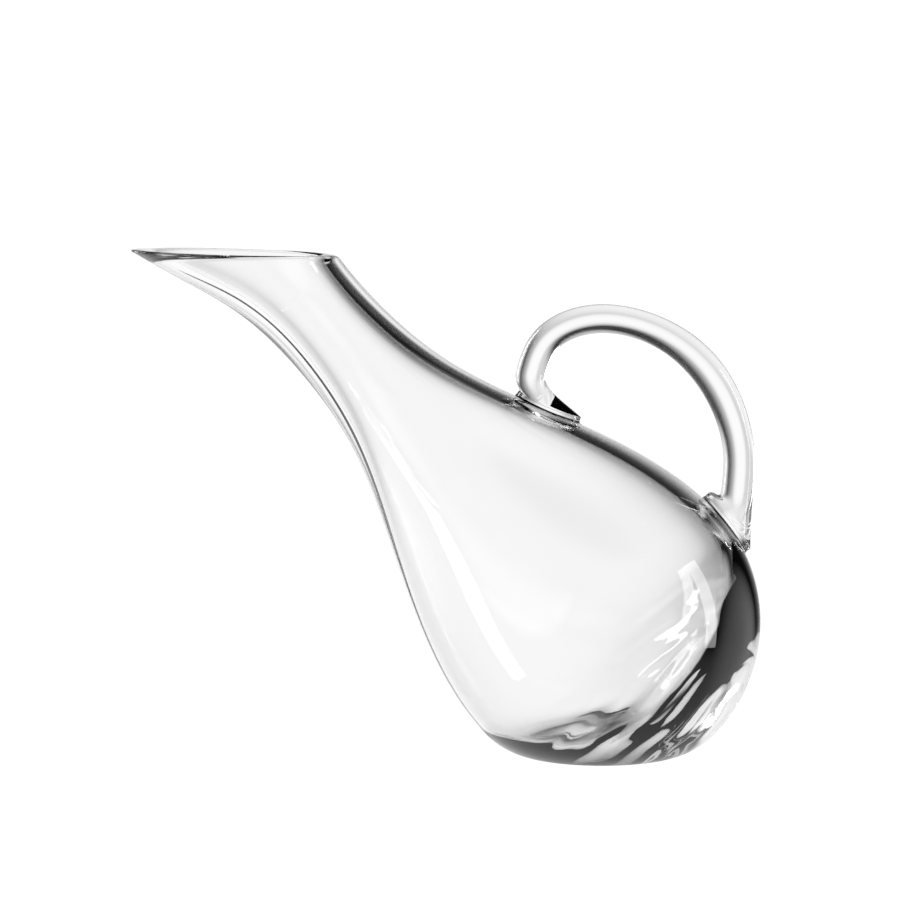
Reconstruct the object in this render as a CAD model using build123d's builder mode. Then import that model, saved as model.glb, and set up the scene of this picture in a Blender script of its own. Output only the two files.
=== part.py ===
"""Clear-glass wine decanter: a blown vessel lying back on its bowl, with a drawn glass handle.

The vessel is round about a tilted blowing axis. Its bowl is a sphere at the low end, its neck
narrows to a throat and flares again, and a nearly level cut makes the long pouring mouth.
The handle is one drawn rod. It stands on two pads of glass that are welded to the wall.

Frame: origin at the centre of the resting face, +Z up, the spout towards -X and the handle
towards +X. The object is symmetric about the XZ plane. Millimetres.
"""

import os
from math import cos, radians, sin, sqrt

from build123d import *

# Vessel, outside. Stations are distances from the bowl's centre along the blowing axis.
axis_tilt = 47.6  # blowing axis above the table, degrees
bowl_radius = 75.7
shoulder_along, shoulder_radius = 84.6, 52.1
collar_along, collar_radius = 141.0, 30.0
throat_along, throat_radius = 183.0, 24.5
flare_along, flare_radius = 225.6, 28.0
spout_along, spout_radius = 255.0, 37.4
lip_along, lip_radius = 290.0, 48.3  # beyond the tip, so the mouth cut takes it off
lip_splay = 17.0  # the wall's slope at the lip, degrees
mouth_along = 235.7  # where the mouth cut crosses the blowing axis
mouth_tilt = 1.7  # the cut is this much higher at the spout, degrees
rim_round = 0.6

# Vessel, foot
foot_radius = 41.2  # where the sphere would meet the table without its heel
heel_round = 35.0

# Vessel, inside: wall thickness at each station
bowl_wall, shoulder_wall, collar_wall = 4.7, 4.6, 5.6
throat_wall, flare_wall, spout_wall, lip_wall = 7.2, 6.8, 4.8, 4.0
butt_wall = 18.7  # the thick end of the bowl, along the axis
floor_wall = 7.0
cavity_drop = 2.2  # how far the hollow sits towards the low side, at the bowl's centre
push_up_radius, push_up_height = 20.0, 3.5
push_up_lean = -12.0  # the hollow's floor lies towards the spout, away from the butt

# Handle
rod_radius = 7.3
upper_seat_along, lower_seat_along = 91.0, -5.5
seat_length, seat_width = 32.0, 18.0  # the rod's spread feet
pad_height = 2.5  # from the wall to the spread foot
pad_margin = 1.2  # the pad stands out this far past the foot
upper_stub_lean, upper_stub_rise = -8.0, 15.5  # from the seat to where the bend starts
lower_stub_lean, lower_stub_rise = 5.6, 24.0
lower_straight = 8.0
rear_bend_radius = 25.5
crown_turn = 25.0  # the handle's slow turn over the top, degrees

# ---------------------------------------------------------------------------------------------
# Shared geometry

bowl_centre = Vector(0, 0, sqrt(bowl_radius**2 - foot_radius**2))
towards_mouth = Vector(-cos(radians(axis_tilt)), 0, sin(radians(axis_tilt)))
towards_top = Vector(sin(radians(axis_tilt)), 0, cos(radians(axis_tilt)))
blowing_axis = Axis(bowl_centre, towards_mouth)
# Profiles are drawn towards +Y, so that the round surfaces' seams stay clear of foot and handle.
axis_plane = Plane(origin=bowl_centre, x_dir=towards_mouth, z_dir=-towards_top)

# The hollow's axis crosses the blowing axis at the throat and drops below it at the bowl.
throat_centre = bowl_centre + towards_mouth * throat_along
hollow_radius = bowl_radius - bowl_wall
hollow_reach = bowl_radius - butt_wall
cavity_centre = bowl_centre - towards_top * cavity_drop
towards_throat = (throat_centre - cavity_centre).normalized()
cavity_axis = Axis(cavity_centre, towards_throat)
cavity_plane = Plane(
    origin=cavity_centre, x_dir=towards_throat, z_dir=towards_throat.cross(Vector(0, 1, 0))
)

mouth_plane = Plane(
    origin=bowl_centre + towards_mouth * mouth_along,
    x_dir=(cos(radians(mouth_tilt)), 0, -sin(radians(mouth_tilt))),
    z_dir=(sin(radians(mouth_tilt)), 0, cos(radians(mouth_tilt))),
)
splay = (cos(radians(lip_splay)), sin(radians(lip_splay)))

# ---------------------------------------------------------------------------------------------
# Vessel

with BuildPart() as envelope:  # the vessel before it is hollowed
    with BuildSketch(axis_plane):
        with BuildLine():
            RadiusArc((-bowl_radius, 0), (0, bowl_radius), bowl_radius)
            Spline(
                (0, bowl_radius),
                (shoulder_along, shoulder_radius),
                (collar_along, collar_radius),
                (throat_along, throat_radius),
                (flare_along, flare_radius),
                (spout_along, spout_radius),
                (lip_along, lip_radius),
                tangents=[(1, 0), splay],
            )
            Polyline((lip_along, lip_radius), (lip_along, 0), (-bowl_radius, 0))
        make_face()
    revolve(axis=blowing_axis)
    split(bisect_by=mouth_plane, keep=Keep.BOTTOM)
    split(bisect_by=Plane.XY, keep=Keep.TOP)
    foot_edge = envelope.edges().filter_by(GeomType.CIRCLE).sort_by(Axis.Z)[0]
    fillet(foot_edge, heel_round)

with BuildPart() as hollow:  # the space inside the vessel
    with BuildSketch(cavity_plane):
        with BuildLine():
            Spline(  # a quarter of an oval, flatter than the bowl, which leaves the thick butt
                (-hollow_reach, 0),
                (-hollow_reach * sqrt(0.5), hollow_radius * sqrt(0.5)),
                (0, hollow_radius),
                tangents=[(0, 1), (1, 0)],
            )
            Spline(
                (0, hollow_radius),
                (shoulder_along, shoulder_radius - shoulder_wall),
                (collar_along, collar_radius - collar_wall),
                (throat_along, throat_radius - throat_wall),
                (flare_along, flare_radius - flare_wall),
                (spout_along, spout_radius - spout_wall),
                (lip_along, lip_radius - lip_wall),
                tangents=[(1, 0), splay],
            )
            Polyline((lip_along, lip_radius - lip_wall), (lip_along, 0), (-hollow_reach, 0))
        make_face()
    revolve(axis=cavity_axis)
    split(bisect_by=Plane.XY.offset(floor_wall), keep=Keep.TOP)
    dome_radius = (push_up_radius**2 + push_up_height**2) / (2 * push_up_height)
    with Locations((push_up_lean, 0, floor_wall + push_up_height - dome_radius)):
        Sphere(dome_radius, mode=Mode.SUBTRACT)

with BuildPart() as vessel:
    add(envelope.part)
    add(hollow.part, mode=Mode.SUBTRACT)
    rim_face = vessel.faces().filter_by(GeomType.PLANE).sort_by(Axis.Z)[-1]
    fillet(rim_face.edges(), rim_round)

# ---------------------------------------------------------------------------------------------
# Welded pads


def seat_plane(along):
    """The plane that touches the upper wall, at a distance along the blowing axis."""
    outwards = Axis(bowl_centre + towards_mouth * along, towards_top)
    crossings = envelope.part.find_intersection_points(outwards)
    point, normal = max(crossings, key=lambda crossing: (crossing[0] - bowl_centre).dot(towards_top))
    return Plane(origin=point, x_dir=Vector(0, 1, 0).cross(normal), z_dir=normal)


upper_seat = seat_plane(upper_seat_along)
lower_seat = seat_plane(lower_seat_along)
pad_bury = seat_length / 4  # deeper than the wall curves away under the pad

with BuildPart() as upper_pad:
    with BuildSketch(upper_seat.offset(pad_height)):
        Ellipse(seat_length / 2 + pad_margin, seat_width / 2 + pad_margin)
    extrude(amount=-pad_height - pad_bury)
    add(envelope.part, mode=Mode.SUBTRACT)

with BuildPart() as lower_pad:
    with BuildSketch(lower_seat.offset(pad_height)):
        Ellipse(seat_length / 2 + pad_margin, seat_width / 2 + pad_margin)
    extrude(amount=-pad_height - pad_bury)
    add(envelope.part, mode=Mode.SUBTRACT)

# ---------------------------------------------------------------------------------------------
# Handle: a rod bent in four arcs, from the upper foot over the crown and down to the lower foot

rear_end = upper_seat.origin + Vector(upper_stub_lean, 0, upper_stub_rise)
front_end = lower_seat.origin + Vector(lower_stub_lean, 0, lower_stub_rise)

# The crown runs from level to upright in two tangent arcs that fill this width and height.
crown_width = front_end.X - rear_end.X - rear_bend_radius
crown_height = rear_end.Z + rear_bend_radius - front_end.Z - lower_straight
turn_rise = (1 - cos(radians(crown_turn))) / sin(radians(crown_turn))
front_bend_radius = (crown_height - crown_width * turn_rise) / (
    cos(radians(crown_turn)) - (1 - sin(radians(crown_turn))) * turn_rise
)
crown_radius = (crown_width - front_bend_radius * (1 - sin(radians(crown_turn)))) / sin(
    radians(crown_turn)
)

with BuildPart() as handle:
    with BuildLine(Plane.XZ) as rod_path:
        rear_bend = JernArc((rear_end.X, rear_end.Z), (0, 1), rear_bend_radius, -90)
        crown = JernArc(rear_bend @ 1, rear_bend % 1, crown_radius, -crown_turn)
        front_bend = JernArc(crown @ 1, crown % 1, front_bend_radius, crown_turn - 90)
        Line(front_bend @ 1, (front_end.X, front_end.Z))
    with BuildSketch(Plane(origin=rear_end)):
        Circle(rod_radius)
    sweep(path=rod_path.line)
    with BuildSketch(Plane(origin=rear_end)):
        Circle(rod_radius)
    with BuildSketch(upper_seat.offset(pad_height)):
        Ellipse(seat_length / 2, seat_width / 2)
    loft()
    with BuildSketch(Plane(origin=front_end)):
        Circle(rod_radius)
    with BuildSketch(lower_seat.offset(pad_height)):
        Ellipse(seat_length / 2, seat_width / 2)
    loft()

# ---------------------------------------------------------------------------------------------
# Files

os.makedirs("parts", exist_ok=True)
vessel.part.label = "vessel"
handle.part.label = "handle"
upper_pad.part.label = "upper_handle_seal"
lower_pad.part.label = "lower_handle_seal"
for piece in (vessel, handle, upper_pad, lower_pad):
    export_step(piece.part, f"parts/{piece.part.label}.step")
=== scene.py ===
"""Clear-glass wine decanter: the blown vessel, its drawn handle and the two welds between them.

Metres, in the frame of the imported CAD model: +Z up, the spout towards -X, the handle towards +X.
The glass is built as closed surfaces by formula, from the same stations as the CAD profiles.
"""

from math import asin, atan, cos, pi, radians, sin, sqrt, tan

import bpy
import numpy as np
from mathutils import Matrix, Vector


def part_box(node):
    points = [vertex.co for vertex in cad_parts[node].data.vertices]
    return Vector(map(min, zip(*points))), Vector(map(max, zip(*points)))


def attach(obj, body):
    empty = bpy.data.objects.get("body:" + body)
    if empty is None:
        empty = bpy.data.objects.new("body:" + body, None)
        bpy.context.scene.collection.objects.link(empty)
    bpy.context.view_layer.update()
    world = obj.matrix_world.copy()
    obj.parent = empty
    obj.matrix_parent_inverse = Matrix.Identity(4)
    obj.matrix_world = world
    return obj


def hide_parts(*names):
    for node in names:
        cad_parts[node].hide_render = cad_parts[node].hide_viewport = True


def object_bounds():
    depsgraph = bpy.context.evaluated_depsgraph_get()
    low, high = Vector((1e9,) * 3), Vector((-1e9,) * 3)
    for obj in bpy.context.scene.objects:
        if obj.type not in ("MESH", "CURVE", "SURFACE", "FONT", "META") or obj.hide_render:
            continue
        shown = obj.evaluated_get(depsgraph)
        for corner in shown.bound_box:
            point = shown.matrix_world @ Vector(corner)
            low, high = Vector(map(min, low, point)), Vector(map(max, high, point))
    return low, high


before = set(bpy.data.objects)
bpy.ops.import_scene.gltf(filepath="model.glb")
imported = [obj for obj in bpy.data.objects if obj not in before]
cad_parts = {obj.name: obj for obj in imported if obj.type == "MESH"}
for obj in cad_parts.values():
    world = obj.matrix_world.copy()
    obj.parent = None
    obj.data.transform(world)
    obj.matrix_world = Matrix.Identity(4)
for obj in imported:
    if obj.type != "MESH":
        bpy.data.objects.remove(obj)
cad_low, cad_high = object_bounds()

MM = 0.001
Y_AXIS = np.array([0.0, 1.0, 0.0])

# ---------------------------------------------------------------------------------------------
# Vessel stations: distance along the blowing axis from the bowl's centre, radius, wall

AXIS_TILT = radians(47.6)
BOWL_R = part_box("vessel")[1].x  # the bowl is a sphere over the origin, so this is its radius
FOOT_R = 41.2 * MM
HEEL_R = 35.0 * MM
STATIONS = np.array(
    [
        (0.0, 75.7, 4.7),  # bowl
        (84.6, 52.1, 4.6),  # shoulder
        (141.0, 30.0, 5.6),  # collar
        (183.0, 24.5, 7.2),  # throat
        (225.6, 28.0, 6.8),  # flare
        (255.0, 37.4, 4.8),  # spout
        (290.0, 48.3, 4.0),  # lip, beyond the mouth cut
    ]
)
STATIONS = STATIONS * MM
LIP_SLOPE = tan(radians(17.0))
MOUTH_ALONG = 235.7 * MM
MOUTH_TILT = radians(1.7)
BUTT_WALL = 18.7 * MM
CAVITY_DROP = 2.2 * MM
FLOOR_WALL = 7.0 * MM
PUSH_UP_R = 20.0 * MM
PUSH_UP_H = 3.5 * MM
PUSH_UP_X = -12.0 * MM
PUSH_UP_SPREAD = 1.25  # how far its soft edge runs out, as a share of its radius
FLOOR_SOFT = 9.0 * MM  # over this height the hollow's wall rounds into its floor

# Handle and welds
UPPER_SEAT_ALONG = 91.0 * MM
LOWER_SEAT_ALONG = -5.5 * MM
SEAT_LENGTH = 32.0 * MM
SEAT_WIDTH = 18.0 * MM
PAD_H = 2.5 * MM
WELD = 0.4 * MM  # how far fused pieces run into each other
SEAL_EDGE = 1.1  # the weld's outline on the wall, as a share of the foot's

BOWL_C = np.array([0.0, 0.0, sqrt(BOWL_R**2 - FOOT_R**2)])
TO_MOUTH = np.array([-cos(AXIS_TILT), 0.0, sin(AXIS_TILT)])
TO_TOP = np.array([sin(AXIS_TILT), 0.0, cos(AXIS_TILT)])
MOUTH_C = BOWL_C + TO_MOUTH * MOUTH_ALONG
MOUTH_UP = np.array([sin(MOUTH_TILT), 0.0, cos(MOUTH_TILT)])


def smooth(low, high, x):
    """0 below low, 1 above high, with a smooth step between."""
    t = np.clip((x - low) / (high - low), 0.0, 1.0)
    return t * t * (3 - 2 * t)


def spline_through(x, y, start_slope, end_slope):
    """The cubic spline y(x) through the points, with the given slopes at its ends."""
    n = len(x)
    h = np.diff(x)
    rise = np.diff(y) / h
    system = np.eye(n)
    right = np.zeros(n)
    right[0], right[-1] = start_slope, end_slope
    for i in range(1, n - 1):
        system[i, i - 1 : i + 2] = 1 / h[i - 1], 2 / h[i - 1] + 2 / h[i], 1 / h[i]
        right[i] = 3 * (rise[i - 1] / h[i - 1] + rise[i] / h[i])
    slope = np.linalg.solve(system, right)

    def value(at):
        at = np.asarray(at, float)
        i = np.clip(np.searchsorted(x, at) - 1, 0, n - 2)
        t = (at - x[i]) / h[i]
        start = y[i] * (1 + 2 * t) * (1 - t) ** 2 + h[i] * slope[i] * t * (1 - t) ** 2
        end = y[i + 1] * t**2 * (3 - 2 * t) + h[i] * slope[i + 1] * t**2 * (t - 1)
        return start + end

    return value


outer_wall = spline_through(STATIONS[:, 0], STATIONS[:, 1], 0.0, LIP_SLOPE)
inner_wall = spline_through(STATIONS[:, 0], STATIONS[:, 1] - STATIONS[:, 2], 0.0, LIP_SLOPE)
HOLLOW_R = BOWL_R - STATIONS[0, 2]
HOLLOW_REACH = BOWL_R - BUTT_WALL


def outer_radius(along):
    """The vessel's outer radius, on the sphere and on the wall."""
    ball = np.sqrt(np.maximum(BOWL_R**2 - np.minimum(along, 0.0) ** 2, 0.0))
    return np.where(along < 0, ball, outer_wall(np.maximum(along, 0.0)))


# ---------------------------------------------------------------------------------------------
# Mesh helpers


def make_mesh(name, rings):
    """A smooth closed mesh from equal rings of points, with a point in the middle of each end."""
    rings = np.asarray(rings)
    count, size = rings.shape[:2]
    points = rings.reshape(-1, 3)
    faces = []
    for i in range(count - 1):
        for j in range(size):
            k = (j + 1) % size
            faces.append((i * size + j, i * size + k, (i + 1) * size + k, (i + 1) * size + j))
    for ring in (0, count - 1):
        tip = len(points)
        points = np.vstack([points, rings[ring].mean(axis=0)])
        for j in range(size):
            k = (j + 1) % size
            edge = (ring * size + k, ring * size + j)
            faces.append((tip,) + (edge if ring == 0 else edge[::-1]))
    mesh = bpy.data.meshes.new(name)
    mesh.from_pydata(points.tolist(), [], faces)
    mesh.shade_smooth()
    mesh.update()
    piece = bpy.data.objects.new(name, mesh)
    bpy.context.scene.collection.objects.link(piece)
    return piece


def face_outwards(piece):
    """Turns the faces outwards if the closed mesh was made inside out."""
    mesh = piece.data
    volume = 0.0
    for face in mesh.polygons:
        corners = [mesh.vertices[i].co for i in face.vertices]
        for second, third in zip(corners[1:], corners[2:]):
            volume += corners[0].dot(second.cross(third))
    if volume < 0:
        mesh.flip_normals()


def mark_fused(piece, chosen):
    """Marks faces that lie inside fused glass, where light goes straight on."""
    mark = piece.data.attributes.new("fused", "FLOAT", "FACE")
    mark.data.foreach_set("value", np.asarray(chosen, float))


def mark_fused_ends(piece, size, first, last):
    """Marks both caps and the first and last bands of a mesh of rings."""
    chosen = np.zeros(len(piece.data.polygons))
    chosen[: first * size] = 1
    chosen[len(chosen) - (last + 2) * size :] = 1
    mark_fused(piece, chosen)


# ---------------------------------------------------------------------------------------------
# Vessel

ROUND = 256  # points in each ring
BALL_RINGS = 60
WALL_RINGS = 110
RIM_RINGS = 12
LIP_DROP = 0.24  # how far the lip's rounding starts below the cut, as a share of its width
LIP_PULL = LIP_DROP / 0.75  # the rounding's handles, for a curve that just reaches the cut
MOUTH_BETWEEN = (0.15, 0.30)  # every meridian meets the mouth between these, along the axis
HALVINGS = 40
PHI = np.linspace(0, 2 * pi, ROUND, endpoint=False)


def turned(centre, axis, top, along, radius):
    """Points of rings round an axis: along and radius hold one value for each ring and point."""
    side = np.cos(PHI)[None, :, None] * top + np.sin(PHI)[None, :, None] * Y_AXIS
    return centre + along[..., None] * axis + radius[..., None] * side


def end_at_mouth(centre, axis, top, wall):
    """How far along the axis each meridian meets the mouth plane, found by halving."""
    low = np.full(ROUND, MOUTH_BETWEEN[0])
    high = np.full(ROUND, MOUTH_BETWEEN[1])
    for _ in range(HALVINGS):
        middle = (low + high) / 2
        points = turned(centre, axis, top, middle[None, :], wall(middle)[None, :])[0]
        above = (points - MOUTH_C) @ MOUTH_UP > 0
        high = np.where(above, middle, high)
        low = np.where(above, low, middle)
    return (low + high) / 2


def flattened_foot(points):
    """Moves the sphere's underside along rays from its centre on to the rounded heel and flat foot."""
    ray = points - BOWL_C
    length = np.linalg.norm(ray, axis=-1)
    below = -ray[..., 2] / length
    out = np.hypot(ray[..., 0], ray[..., 1]) / length
    height = BOWL_C[2]
    flat_r = sqrt((BOWL_R - HEEL_R) ** 2 - (height - HEEL_R) ** 2)
    nearest = flat_r * out + (height - HEEL_R) * below
    reach = nearest + np.sqrt(np.maximum(nearest**2 - (BOWL_R - HEEL_R) ** 2 + HEEL_R**2, 0))
    reach = np.where(out * height < flat_r * below, height / np.maximum(below, 0.1), reach)
    heel = below > (height - HEEL_R) / (BOWL_R - HEEL_R)
    reach = np.where(heel, reach, length)
    return BOWL_C + ray / length[..., None] * reach[..., None]


def raised_floor(points):
    """Lifts the hollow's underside on to its floor, with a soft edge and the push-up in it."""
    away = np.hypot(points[..., 0] - PUSH_UP_X, points[..., 1])
    floor = FLOOR_WALL + PUSH_UP_H * (1 - smooth(0.0, PUSH_UP_R * PUSH_UP_SPREAD, away))
    share = np.clip(0.5 + 0.5 * (points[..., 2] - floor) / FLOOR_SOFT, 0, 1)
    height = floor + (points[..., 2] - floor) * share + FLOOR_SOFT * share * (1 - share)
    lifted = points.copy()
    lifted[..., 2] = height
    return lifted


def vessel_surface():
    """The rings of the closed glass wall: outside from the butt up, over the rim, and down inside."""
    angle = np.linspace(0, pi / 2, BALL_RINGS + 1)[1:-1, None] * np.ones(ROUND)
    ball = turned(BOWL_C, TO_MOUTH, TO_TOP, -BOWL_R * np.cos(angle), BOWL_R * np.sin(angle))
    ball = flattened_foot(ball)

    throat = BOWL_C + TO_MOUTH * STATIONS[3, 0]
    hollow_c = BOWL_C - TO_TOP * CAVITY_DROP
    hollow_axis = throat - hollow_c
    hollow_axis = hollow_axis / np.linalg.norm(hollow_axis)
    hollow_top = np.cross(Y_AXIS, hollow_axis)
    hollow_top *= np.sign(hollow_top @ TO_TOP)

    outer_end = end_at_mouth(BOWL_C, TO_MOUTH, TO_TOP, outer_wall)
    inner_end = end_at_mouth(hollow_c, hollow_axis, hollow_top, inner_wall)
    outer_r = outer_wall(outer_end)
    outer_edge = turned(BOWL_C, TO_MOUTH, TO_TOP, outer_end[None], outer_r[None])[0]
    inner_r = inner_wall(inner_end)
    inner_edge = turned(hollow_c, hollow_axis, hollow_top, inner_end[None], inner_r[None])[0]
    lip = np.linalg.norm(outer_edge - inner_edge, axis=1)
    outer_end = outer_end - LIP_DROP * lip
    inner_end = inner_end - LIP_DROP * lip

    step = np.linspace(0, 1, WALL_RINGS)[:, None]
    along = step * outer_end
    wall = turned(BOWL_C, TO_MOUTH, TO_TOP, along, outer_wall(along))
    along = step[::-1] * inner_end
    inside = turned(hollow_c, hollow_axis, hollow_top, along, inner_wall(along))

    angle = np.linspace(pi / 2, 0, BALL_RINGS + 1)[1:-1, None] * np.ones(ROUND)
    reach = HOLLOW_REACH + ripples(angle)
    radius = HOLLOW_R * np.sin(angle)
    hollow = turned(hollow_c, hollow_axis, hollow_top, -reach * np.cos(angle), radius)

    rim = rolled_lip(wall[-2:], inside[:2])
    inner = raised_floor(np.concatenate([inside, hollow]))
    return np.concatenate([ball, wall, rim, inner])


def unit(rows):
    """Each vector of an array at length 1."""
    return rows / np.linalg.norm(rows, axis=-1)[..., None]


def rolled_lip(outside, inside):
    """Rings of the fire-polished lip, from the outer wall's last ring to the inner wall's first."""
    start, finish = outside[1], inside[0]
    pull = np.linalg.norm(finish - start, axis=1)[:, None] * LIP_PULL
    first_handle = start + unit(outside[1] - outside[0]) * pull
    last_handle = finish + unit(inside[0] - inside[1]) * pull
    t = np.linspace(0, 1, RIM_RINGS + 2)[1:-1, None, None]
    return (
        start * (1 - t) ** 3
        + first_handle * 3 * t * (1 - t) ** 2
        + last_handle * 3 * t**2 * (1 - t)
        + finish * t**3
    )


RIPPLE_H = 0.42 * MM
FINE_RIPPLE_H = 0.14 * MM
RIPPLES_RISE = (0.2, 0.5)  # angles from the butt, in radians, between which the ripples rise
RIPPLES_FALL = (1.2, 1.5)  # and between which they die away


def ripples(angle):
    """Wavy rings that gathering the glass leaves at the hollow's thick end.

    Their counts and phases are a free choice, so that the crests wander and no two run alike.
    """
    zone = smooth(*RIPPLES_RISE, angle) * (1 - smooth(*RIPPLES_FALL, angle))
    uneven = 1 + 0.5 * np.sin(2 * PHI + 0.6) + 0.4 * np.sin(5 * PHI + 2.1)
    wander = 1.5 * np.sin(2 * PHI) + 0.8 * np.sin(3 * PHI + 1.0)
    fine_wander = 2.0 * np.sin(3 * PHI + 0.4) + 1.1 * np.sin(7 * PHI)
    wave = RIPPLE_H * np.sin(24 * angle + wander)
    fine_wave = FINE_RIPPLE_H * np.sin(47 * angle + fine_wander)
    return zone * uneven * (wave + fine_wave)


# ---------------------------------------------------------------------------------------------
# Welds and handle


def on_wall(seat_along, out_along, sideways, height):
    """Points over the upper wall, at distances from a seat along the meridian, across it and off it."""
    nudge = 0.2 * MM
    grade = (outer_radius(seat_along + nudge) - outer_radius(seat_along - nudge)) / (2 * nudge)
    along = seat_along + out_along * cos(atan(grade))
    radius = outer_radius(along)
    slope = (outer_radius(along + nudge) - outer_radius(along - nudge)) / (2 * nudge)
    turn = sideways / radius
    side = np.cos(turn)[..., None] * TO_TOP + np.sin(turn)[..., None] * Y_AXIS
    normal = (side - slope[..., None] * TO_MOUTH) / np.sqrt(1 + slope**2)[..., None]
    foot = BOWL_C + along[..., None] * TO_MOUTH + radius[..., None] * side
    return foot + normal * np.asarray(height)[..., None]


FOOT_POINTS = 64  # points in each ring of the handle and the welds
SEAL_RINGS = 12  # in a weld's edge
SUNK_SEAL_RINGS = 3  # of those, the ones that lie inside the vessel's wall
SUNK_FOOT_RINGS = 2  # of a foot's edge, the ones that lie inside the weld
FUSED_SHARE = 1.03  # the vessel's wall is fused inside this share of a seat's oval
SKIN = 1 * MM  # points this close to the outer wall belong to it
SPIN = np.linspace(0, 2 * pi, FOOT_POINTS, endpoint=False)


def seat_ring(seat_along, grow, height):
    """One ring of a seat's oval, grown by a factor, at a height off the wall."""
    length = SEAT_LENGTH / 2 * grow * np.cos(SPIN)
    width = SEAT_WIDTH / 2 * grow * np.sin(SPIN)
    return on_wall(seat_along, length, width, np.full(FOOT_POINTS, height))


def seal_piece(name, seat_along):
    """The glass of a weld: a low oval pad whose edge runs out in a soft curve on to the wall."""
    under = [seat_ring(seat_along, grow, -WELD) for grow in (0.15, 0.35, 0.55, 0.75, 0.92, 1.02)]
    edge = []
    for t in np.linspace(0, pi / 2, SEAL_RINGS):
        grow = SEAL_EDGE + (1 - SEAL_EDGE) * sin(t)
        height = -WELD + (PAD_H + WELD) * (1 - cos(t))
        edge.append(seat_ring(seat_along, grow, height))
    over = [seat_ring(seat_along, grow, PAD_H) for grow in (0.9, 0.75, 0.6, 0.4, 0.15)]
    piece = make_mesh(name, under + edge + over)
    face_outwards(piece)
    mark_fused_ends(piece, FOOT_POINTS, len(under) + SUNK_SEAL_RINGS, len(over))
    return piece


def under_welds(piece):
    """Which of the vessel's outer faces have every corner in a seat's oval, as the axis sees it."""
    mesh = piece.data
    points = np.array([vertex.co for vertex in mesh.vertices]) - BOWL_C
    along = points @ TO_MOUTH
    turn = np.arctan2(points @ Y_AXIS, points @ TO_TOP)
    radius = np.hypot(points @ Y_AXIS, points @ TO_TOP)
    outer = outer_radius(along)
    covered = np.zeros(len(points), bool)
    for seat_along in (UPPER_SEAT_ALONG, LOWER_SEAT_ALONG):
        long_way = (along - seat_along) / (SEAT_LENGTH / 2)
        wide_way = turn * outer / (SEAT_WIDTH / 2)
        covered |= (np.hypot(long_way, wide_way) < FUSED_SHARE) & (radius > outer - SKIN)
    return [all(covered[i] for i in face.vertices) for face in mesh.polygons]


# Centre line of the rod between its two feet, from the neck over the crown to the bowl
ROD = np.array(
    [
        (-32.6, 181.0, 7.1),  # x, z, radius
        (-26.0, 196.0, 6.9),
        (-8.5, 205.6, 6.8),
        (12.0, 205.4, 6.8),
        (33.5, 196.8, 7.2),
        (50.0, 182.0, 7.8),
        (60.8, 162.5, 7.6),
        (65.2, 141.5, 7.4),
        (64.6, 127.5, 7.5),
    ]
)
ROD = ROD * MM
ROD_RINGS = 150
ROD_START = (0.6, 1.0)  # the rod's way at its first point: a share of the first step's lean, and up
ROD_END_LEAN = -0.05  # how much further the rod leans towards the spout at its last point
FOOT_RINGS = 26
FOOT_SHARES = (0.2, 0.5, 0.8)  # sizes of the rings in a foot's underside, as shares of its oval
FOOT_EDGE = 0.9 * MM  # the height of a foot's edge
FOOT_TAPER = 0.01  # how much smaller it is at its bottom
UPPER_PULL, LOWER_PULL = 16.0 * MM, 26.0 * MM  # how far each foot's flare is drawn out
FLARE_OFF, FLARE_IN = 0.55, 1.15  # how strongly a flare starts off the wall, and inwards
FLARE_END = 1.1  # how strongly it ends along the rod


def handle_piece(name):
    """The rod, swept with its changing thickness, and its two feet flared on to the welds."""
    chord = np.concatenate([[0], np.cumsum(np.hypot(np.diff(ROD[:, 0]), np.diff(ROD[:, 1])))])
    start = (ROD[1, :2] - ROD[0, :2]) / chord[1]
    end = (ROD[-1, :2] - ROD[-2, :2]) / (chord[-1] - chord[-2])
    at = np.linspace(0, chord[-1], ROD_RINGS)
    x = spline_through(chord, ROD[:, 0], start[0] * ROD_START[0], end[0] + ROD_END_LEAN)(at)
    z = spline_through(chord, ROD[:, 1], ROD_START[1], end[1])(at)
    radius = spline_through(chord, ROD[:, 2], 0.0, 0.0)(at)
    dx, dz = np.gradient(x, at), np.gradient(z, at)
    speed = np.hypot(dx, dz)
    forward = np.stack([dx / speed, 0 * dx, dz / speed], axis=1)
    # Each ring starts on the side away from the grip's opening, like the feet's ovals.
    outwards = np.cross(forward, Y_AXIS)
    centre = np.stack([x, 0 * x, z], axis=1)
    outwards *= np.sign(outwards[0] @ TO_MOUTH)
    side = np.cos(SPIN)[None, :, None] * outwards[:, None] + np.sin(SPIN)[None, :, None] * Y_AXIS
    rod = centre[:, None] + radius[:, None, None] * side

    rise = foot_rings(UPPER_SEAT_ALONG, rod[0], forward[0], SPIN, UPPER_PULL)
    fall = foot_rings(LOWER_SEAT_ALONG, rod[-1], -forward[-1], pi - SPIN, LOWER_PULL)
    piece = make_mesh(name, np.concatenate([rise, rod[1:-1], fall[::-1]]))
    face_outwards(piece)
    sunk = len(FOOT_SHARES) + SUNK_FOOT_RINGS
    mark_fused_ends(piece, FOOT_POINTS, sunk, sunk)
    return piece


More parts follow.
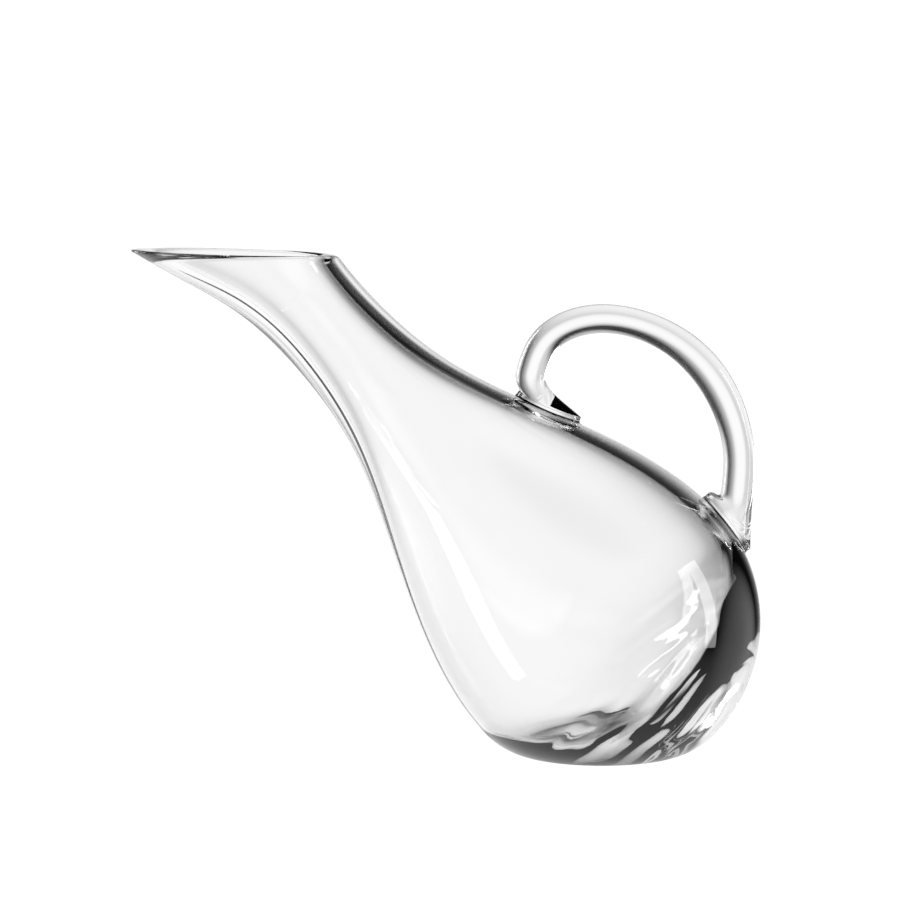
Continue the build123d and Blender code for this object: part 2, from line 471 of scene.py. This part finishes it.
def foot_rings(seat_along, ring, rod_way, angle, pull):
    """Rings from the seat's oval up to the rod's first ring, in hollow curves like pulled glass."""
    base_h = PAD_H - WELD
    long_way = SEAT_LENGTH / 2 * np.cos(angle)
    wide_way = SEAT_WIDTH / 2 * np.sin(angle)
    full = np.ones(FOOT_POINTS)
    base = on_wall(seat_along, long_way, wide_way, (base_h + FOOT_EDGE) * full)
    under = on_wall(seat_along, long_way, wide_way, base_h * full)
    normal = (base - under) / FOOT_EDGE
    gap = ring - base
    inwards = gap - normal * np.sum(gap * normal, axis=1)[:, None]
    leave = normal * pull * FLARE_OFF + inwards * FLARE_IN
    arrive = rod_way * pull * FLARE_END
    rings = []
    for share in FOOT_SHARES:
        rings.append(on_wall(seat_along, long_way * share, wide_way * share, base_h * full))
    for t in (0, 0.25, 0.5, 0.75):  # the foot's edge
        inset = 1 - FOOT_TAPER * (1 - sin(t * pi / 2))
        height = base_h + FOOT_EDGE * (1 - cos(t * pi / 2))
        rings.append(on_wall(seat_along, long_way * inset, wide_way * inset, height * full))
    for t in np.linspace(0, 1, FOOT_RINGS + 1):
        rings.append(
            base * (1 + 2 * t) * (1 - t) ** 2
            + leave * t * (1 - t) ** 2
            + ring * t**2 * (3 - 2 * t)
            + arrive * t**2 * (t - 1)
        )
    return np.array(rings)


# ---------------------------------------------------------------------------------------------
# Glass

GLASS_IOR = 1.5


def glass(name, wave, wave_size):
    """Clear glass with a faint wave in its surface, and none where it is fused to more glass."""
    material = bpy.data.materials.new(name)
    material.use_nodes = True
    nodes, links = material.node_tree.nodes, material.node_tree.links
    shader = nodes["Principled BSDF"]
    shader.inputs["Base Color"].default_value = (1, 1, 1, 1)
    shader.inputs["Roughness"].default_value = 0.0
    shader.inputs["IOR"].default_value = GLASS_IOR
    shader.inputs["Transmission Weight"].default_value = 1.0
    place = nodes.new("ShaderNodeTexCoord")
    noise = nodes.new("ShaderNodeTexNoise")
    noise.inputs["Scale"].default_value = 1 / wave_size
    noise.inputs["Detail"].default_value = 1.0
    bump = nodes.new("ShaderNodeBump")
    bump.inputs["Strength"].default_value = 1.0
    bump.inputs["Distance"].default_value = wave
    links.new(place.outputs["Object"], noise.inputs["Vector"])
    links.new(noise.outputs["Fac"], bump.inputs["Height"])
    links.new(bump.outputs["Normal"], shader.inputs["Normal"])
    fused = nodes.new("ShaderNodeAttribute")
    fused.attribute_name = "fused"
    straight_on = nodes.new("ShaderNodeBsdfTransparent")
    mix = nodes.new("ShaderNodeMixShader")
    links.new(fused.outputs["Fac"], mix.inputs["Fac"])
    links.new(shader.outputs["BSDF"], mix.inputs[1])
    links.new(straight_on.outputs["BSDF"], mix.inputs[2])
    links.new(mix.outputs["Shader"], nodes["Material Output"].inputs["Surface"])
    return material


vessel_glass = glass("clear_vessel_glass", 0.02 * MM, 30 * MM)
handle_glass = glass("clear_handle_glass", 0.02 * MM, 22 * MM)

vessel = make_mesh("blown_vessel", vessel_surface())
face_outwards(vessel)
mark_fused(vessel, under_welds(vessel))
handle = handle_piece("drawn_handle")
upper_seal = seal_piece("upper_weld", UPPER_SEAT_ALONG)
lower_seal = seal_piece("lower_weld", LOWER_SEAT_ALONG)

for piece, node, material, slot in (
    (vessel, "vessel", vessel_glass, "vessel_glass"),
    (handle, "handle", handle_glass, "handle_glass"),
    (upper_seal, "upper_handle_seal", handle_glass, "handle_glass"),
    (lower_seal, "lower_handle_seal", handle_glass, "handle_glass"),
):
    piece.data.materials.append(material)
    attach(piece, "root")
    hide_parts(node)

# ---------------------------------------------------------------------------------------------
# Studio

BOUNCES = 24  # enough for a ray that crosses the wall, the handle and the welds

scene = bpy.context.scene
scene.view_settings.view_transform = "Standard"
scene.cycles.max_bounces = BOUNCES
scene.cycles.transmission_bounces = BOUNCES


def seen_only_by_camera(obj):
    """Keeps the backdrop out of the glass, which sees the studio's lights instead."""
    obj.visible_diffuse = False
    obj.visible_glossy = False
    obj.visible_transmission = False
    obj.visible_shadow = False


def lit_paper(name, brightness):
    """Paper that gives off an even white light, or next to none if its brightness is near 0."""
    material = bpy.data.materials.new(name)
    material.use_nodes = True
    nodes, links = material.node_tree.nodes, material.node_tree.links
    nodes.remove(nodes["Principled BSDF"])
    light = nodes.new("ShaderNodeEmission")
    light.inputs["Strength"].default_value = brightness
    links.new(light.outputs["Emission"], nodes["Material Output"].inputs["Surface"])
    return material


BACKDROP_WHITE = 1.05
BACKDROP_R = 8.0
FLOOR_SIZE = 15.0
FLOOR_GAP = 0.5 * MM  # the floor lies this far under the foot
TABLE_SIZE = 4.0
TABLE_GAP = 1.0 * MM

paper = lit_paper("backdrop_paper", BACKDROP_WHITE)
bpy.ops.mesh.primitive_uv_sphere_add(segments=48, ring_count=24, radius=BACKDROP_R)
backdrop = bpy.context.object
backdrop.name = "backdrop"
bpy.ops.mesh.primitive_plane_add(size=FLOOR_SIZE, location=(0, 0, cad_low.z - FLOOR_GAP))
floor = bpy.context.object
floor.name = "floor"
for obj in (backdrop, floor):
    obj.data.materials.append(paper)
    seen_only_by_camera(obj)


def direction(azimuth, elevation):
    """Where a camera at this azimuth and elevation looks, in degrees."""
    a, e = radians(azimuth), radians(elevation)
    return Vector((-sin(a) * cos(e), cos(a) * cos(e), -sin(e)))


# Lights round the decanter: azimuth and elevation of the view that looks at them,
# half-widths of the bright middle and of the whole light, and brightness
LIGHTS = (
    (1, 4, 1, 24, 1.0),  # backdrop
    (90, 3, 12, 24, 1.0),  # side panel
    (225, 15, 16, 34, 1.0),  # panel on the camera's side
    (30, -70, 22, 48, 0.55),  # overhead panel
    (62, -34, 4, 30, 0.75),  # high panel on the spout's side
    (-62, 14, 10, 32, 0.85),  # low panel on the handle's side
)
DARK = 0.015
FAR_WHITE = 0.66  # brightness far off and below the horizon; the lit table near the glass is 1
TABLE_MIDDLE = (-0.5, 0, 0)  # the middle of the table's lit part
TABLE_END = (0.35, 0.95)  # distances from there over which the table fades out to what lies far off
HORIZON_GLOW = (0.02, 0.36)  # heights, as sines, between which the bright horizon fades out
GLOW_SIDE = (0.10, 0.60)  # it fades out between these to the handle's side
STRIPS = (  # tall soft boxes: azimuth, elevation, distance, width, height, brightness
    (58, -14, 1.2, 0.26, 1.3, 8.0),
    (-98, -8, 1.2, 0.22, 1.0, 4.5),
)
PAINTED_SHADOW_UNDER_FOOT = (16.0 * MM, 52.0 * MM)  # painted shadow: the table's light is dark under the foot and full from here out


def ramp(nodes, links, source, low, high, start, stop):
    """A smooth ramp of a value: start at low, stop at high."""
    fade = nodes.new("ShaderNodeMapRange")
    fade.interpolation_type = "SMOOTHSTEP"
    fade.inputs["From Min"].default_value = low
    fade.inputs["From Max"].default_value = high
    fade.inputs["To Min"].default_value = start
    fade.inputs["To Max"].default_value = stop
    links.new(source, fade.inputs["Value"])
    return fade.outputs["Result"]


def join(nodes, links, operation, first, second):
    """Two values put together by one operation."""
    node = nodes.new("ShaderNodeMath")
    node.operation = operation
    links.new(first, node.inputs[0])
    if isinstance(second, float):
        node.inputs[1].default_value = second
    else:
        links.new(second, node.inputs[1])
    return node.outputs[0]


def studio_light():
    """The world: bright panels and horizon on the dark of the room, seen by the glass."""
    world = bpy.data.worlds.new("studio")
    world.use_nodes = True
    scene.world = world
    nodes, links = world.node_tree.nodes, world.node_tree.links
    place = nodes.new("ShaderNodeTexCoord")
    parts = nodes.new("ShaderNodeSeparateXYZ")
    links.new(place.outputs["Generated"], parts.inputs["Vector"])
    height = ramp(nodes, links, parts.outputs["Z"], *HORIZON_GLOW, FAR_WHITE, 0.0)
    sideways = ramp(nodes, links, parts.outputs["X"], *GLOW_SIDE, 1.0, 0.0)
    total = join(nodes, links, "MULTIPLY", height, sideways)
    for azimuth, elevation, inner, outer, strength in LIGHTS:
        towards = nodes.new("ShaderNodeVectorMath")
        towards.operation = "DOT_PRODUCT"
        towards.inputs[1].default_value = direction(azimuth, elevation)
        links.new(place.outputs["Generated"], towards.inputs[0])
        edges = cos(radians(outer)), cos(radians(inner))
        panel = ramp(nodes, links, towards.outputs["Value"], *edges, 0.0, strength)
        total = join(nodes, links, "MAXIMUM", total, panel)
    total = join(nodes, links, "MAXIMUM", total, DARK)
    links.new(total, nodes["Background"].inputs["Strength"])
    nodes["Background"].inputs["Color"].default_value = (1, 1, 1, 1)


studio_light()


def lit_table(name):
    """A table lit from below, as the glass sees it: a painted shadow under the foot, fading out far
    away.
    """
    material = lit_paper(name, 1.0)
    nodes, links = material.node_tree.nodes, material.node_tree.links
    place = nodes.new("ShaderNodeTexCoord")
    length = nodes.new("ShaderNodeVectorMath")
    length.operation = "LENGTH"
    links.new(place.outputs["Object"], length.inputs[0])
    # Painted shadow: the table's glow is dark under the foot and full further out.
    under = ramp(nodes, links, length.outputs["Value"], *PAINTED_SHADOW_UNDER_FOOT, DARK, 1.0)
    links.new(under, nodes["Emission"].inputs["Strength"])
    away = nodes.new("ShaderNodeVectorMath")
    away.operation = "DISTANCE"
    away.inputs[1].default_value = TABLE_MIDDLE
    links.new(place.outputs["Object"], away.inputs[0])
    gone = nodes.new("ShaderNodeBsdfTransparent")
    mix = nodes.new("ShaderNodeMixShader")
    links.new(ramp(nodes, links, away.outputs["Value"], *TABLE_END, 0.0, 1.0), mix.inputs["Fac"])
    links.new(nodes["Emission"].outputs["Emission"], mix.inputs[1])
    links.new(gone.outputs["BSDF"], mix.inputs[2])
    links.new(mix.outputs["Shader"], nodes["Material Output"].inputs["Surface"])
    return material


bpy.ops.mesh.primitive_plane_add(size=TABLE_SIZE, location=(0, 0, cad_low.z - TABLE_GAP))
table = bpy.context.object
table.name = "table"
table.data.materials.append(lit_table("table_light"))
table.visible_camera = False
table.visible_shadow = False


FLAG_ALONG = (-20 * MM, 255 * MM)  # where the black card starts and ends along the vessel's axis
FLAG_AWAY = 18 * MM  # how far it stands from the wall
FLAG_WIDTH = 6 * MM
FLAG_POINTS = 40  # along each edge
FLAG_NARROW = 0.55  # its width beside the bowl, as a share of its width beside the neck
FLAG_NARROWS = (40 * MM, 120 * MM)  # it changes from one to the other between these


def flag(name):
    """A narrow black card behind the lower wall, seen as a dark line inside the wall's outline."""
    along = np.linspace(*FLAG_ALONG, FLAG_POINTS)
    radius = outer_radius(along)
    edge = BOWL_C + along[:, None] * TO_MOUTH - radius[:, None] * TO_TOP
    run = unit(np.gradient(edge, axis=0))
    out = np.cross(run, Y_AXIS)
    out *= np.sign(out @ -TO_TOP)[:, None]
    inside = np.where(along < 0, HOLLOW_R / BOWL_R, inner_wall(np.maximum(along, 0)) / radius)
    # A view that grazes the hollow turns outwards there and inwards twice at the outer wall.
    bend = pi - 2 * asin(1 / GLASS_IOR) - 2 * (np.arcsin(inside) - np.arcsin(inside / GLASS_IOR))
    way = np.cos(bend)[:, None] * Y_AXIS + np.sin(bend)[:, None] * out
    across = np.cross(way, run)
    middle = edge + FLAG_AWAY * way
    pointed = np.sin(np.linspace(0, pi, len(along))) ** 0.5
    share = FLAG_NARROW + (1 - FLAG_NARROW) * smooth(*FLAG_NARROWS, along)
    half = (FLAG_WIDTH / 2 * pointed * share)[:, None]
    points = np.concatenate([middle - across * half, middle + across * half])
    count = len(along)
    faces = [(i, i + 1, count + i + 1, count + i) for i in range(count - 1)]
    mesh = bpy.data.meshes.new(name)
    mesh.from_pydata(points.tolist(), [], faces)
    card = bpy.data.objects.new(name, mesh)
    scene.collection.objects.link(card)
    mesh.materials.append(lit_paper("flag_black", DARK))
    card.visible_camera = False
    card.visible_shadow = False


flag("wall_flag")

SOFT_BOX_AIM = Vector((-40 * MM, 0, 120 * MM))
for azimuth, elevation, far, width, height, brightness in STRIPS:
    box_light = bpy.data.lights.new("soft_box", "AREA")
    box_light.shape = "RECTANGLE"
    box_light.size = width
    box_light.size_y = height
    box_light.energy = brightness * pi * width * height
    soft_box = bpy.data.objects.new("soft_box", box_light)
    scene.collection.objects.link(soft_box)
    way = direction(azimuth, elevation)
    soft_box.location = SOFT_BOX_AIM + way * far
    soft_box.rotation_euler = way.to_track_quat("Z", "Y").to_euler()
    soft_box.visible_camera = False

# ---------------------------------------------------------------------------------------------
# Camera

CAMERA_HEIGHT = 5.7  # degrees above the horizon
CAMERA_FAR = 2.0
FRAME_WIDTH = 0.423  # what the picture takes in at the decanter
TARGET = Vector((-70.7 * MM, 0, 144.7 * MM))  # the middle of the picture

camera_data = bpy.data.cameras.new("camera")
camera = bpy.data.objects.new("camera", camera_data)
scene.collection.objects.link(camera)
look = direction(0, CAMERA_HEIGHT)
camera.location = TARGET - look * CAMERA_FAR
camera.rotation_euler = look.to_track_quat("-Z", "Y").to_euler()
camera_data.lens = camera_data.sensor_width * CAMERA_FAR / FRAME_WIDTH
scene.camera = camera
